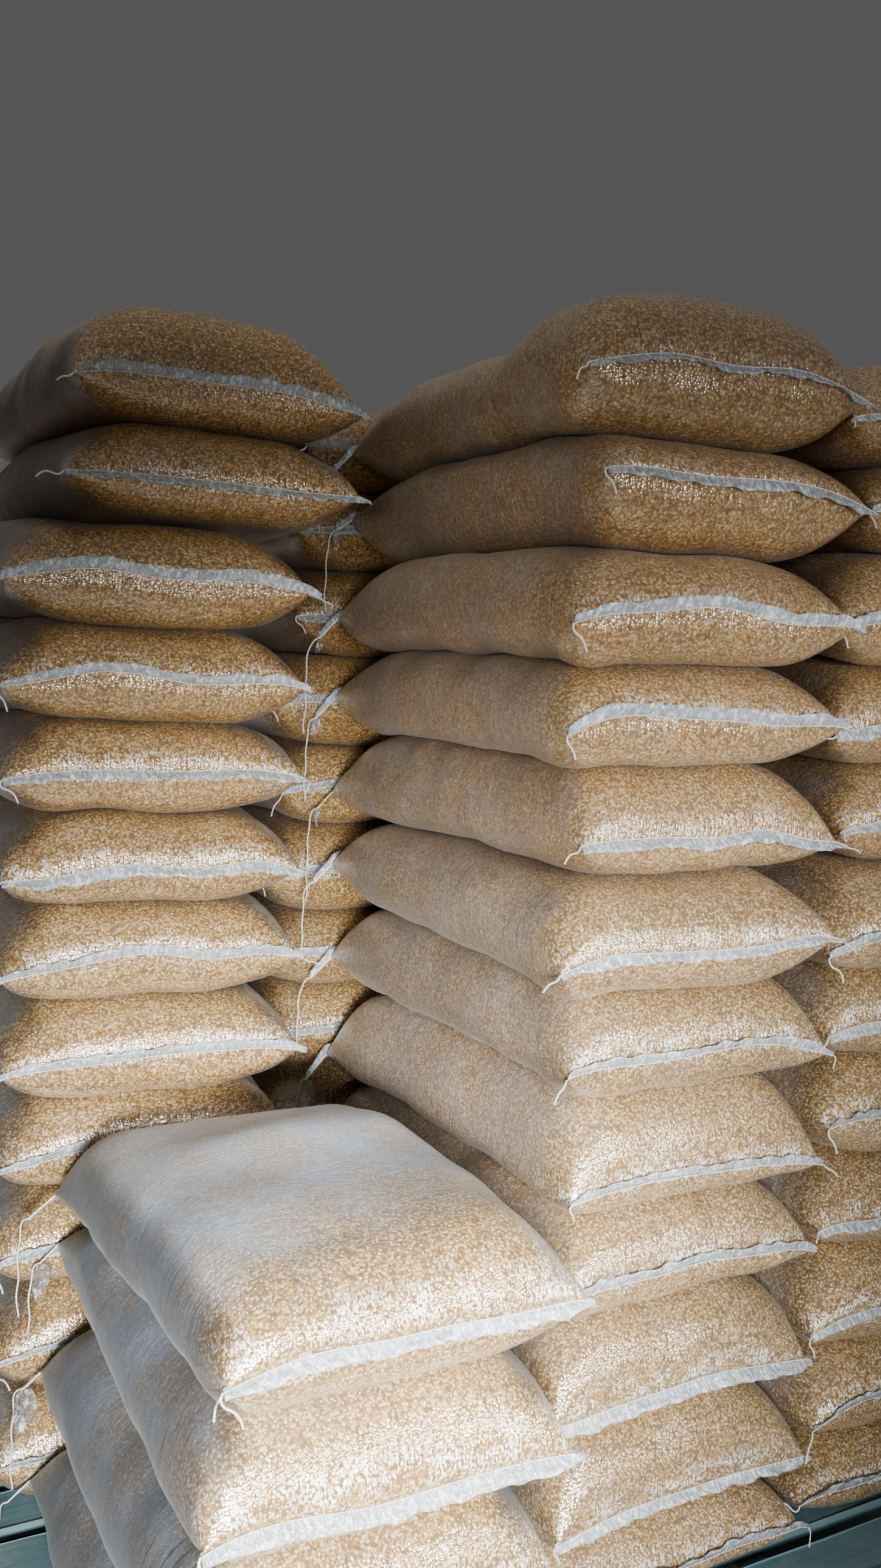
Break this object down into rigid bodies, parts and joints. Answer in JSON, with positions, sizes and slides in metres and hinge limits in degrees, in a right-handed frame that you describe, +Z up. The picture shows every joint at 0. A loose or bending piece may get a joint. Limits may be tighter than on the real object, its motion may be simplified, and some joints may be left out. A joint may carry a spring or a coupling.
{
  "type": "pallet of grain sacks",
  "caption": "Loaded timber pallet: stacks of clear woven plastic sacks filled with yellow maize, lying flat on each other on painted deck boards over bearers.",
  "frame": {"origin": "middle of the pallet's footprint, on the floor", "axes": "+Z up; X along the sewn ends of the sacks; Y along their long sides, with the low front stack at -Y"},
  "size_m": [1.9, 1.995, 2.2659],
  "materials": {
    "sack": "clear woven plastic film over yellow maize kernels, glossy in patches",
    "painted_timber": "worn blue-green paint on sawn boards"
  },
  "bodies": {
    "root": {"back_sacks_01": "sack", "back_sacks_02": "sack", "back_sacks_03": "sack", "back_sacks_04": "sack", "back_sacks_05": "sack", "back_sacks_06": "sack", "back_sacks_07": "sack", "back_sacks_08": "sack", "back_sacks_09": "sack", "back_sacks_10": "sack", "back_sacks_11": "sack", "back_sacks_12": "sack", "base_board_back": "painted_timber", "base_board_front": "painted_timber", "base_board_middle": "painted_timber", "bearer_1": "painted_timber", "bearer_2": "painted_timber", "bearer_3": "painted_timber", "bearer_4": "painted_timber", "deck_boards": "painted_timber", "front_sack_01": "sack", "front_sack_02": "sack", "front_sack_03": "sack", "front_sack_04": "sack", "left_sack_01": "sack", "left_sack_02": "sack", "left_sack_03": "sack", "left_sack_04": "sack", "left_sack_05": "sack", "left_sack_06": "sack", "left_sack_07": "sack", "left_sack_08": "sack", "left_sack_09": "sack", "left_sack_10": "sack", "left_sack_11": "sack", "left_sack_12": "sack", "main_sack_01": "sack", "main_sack_02": "sack", "main_sack_03": "sack", "main_sack_04": "sack", "main_sack_05": "sack", "main_sack_06": "sack", "main_sack_07": "sack", "main_sack_08": "sack", "main_sack_09": "sack", "main_sack_10": "sack", "main_sack_11": "sack", "main_sack_12": "sack", "right_sack_01": "sack", "right_sack_02": "sack", "right_sack_03": "sack", "right_sack_04": "sack", "right_sack_05": "sack", "right_sack_06": "sack", "right_sack_07": "sack", "right_sack_08": "sack", "right_sack_09": "sack", "right_sack_10": "sack", "right_sack_11": "sack", "right_sack_12": "sack"}
  },
  "joints": []
}
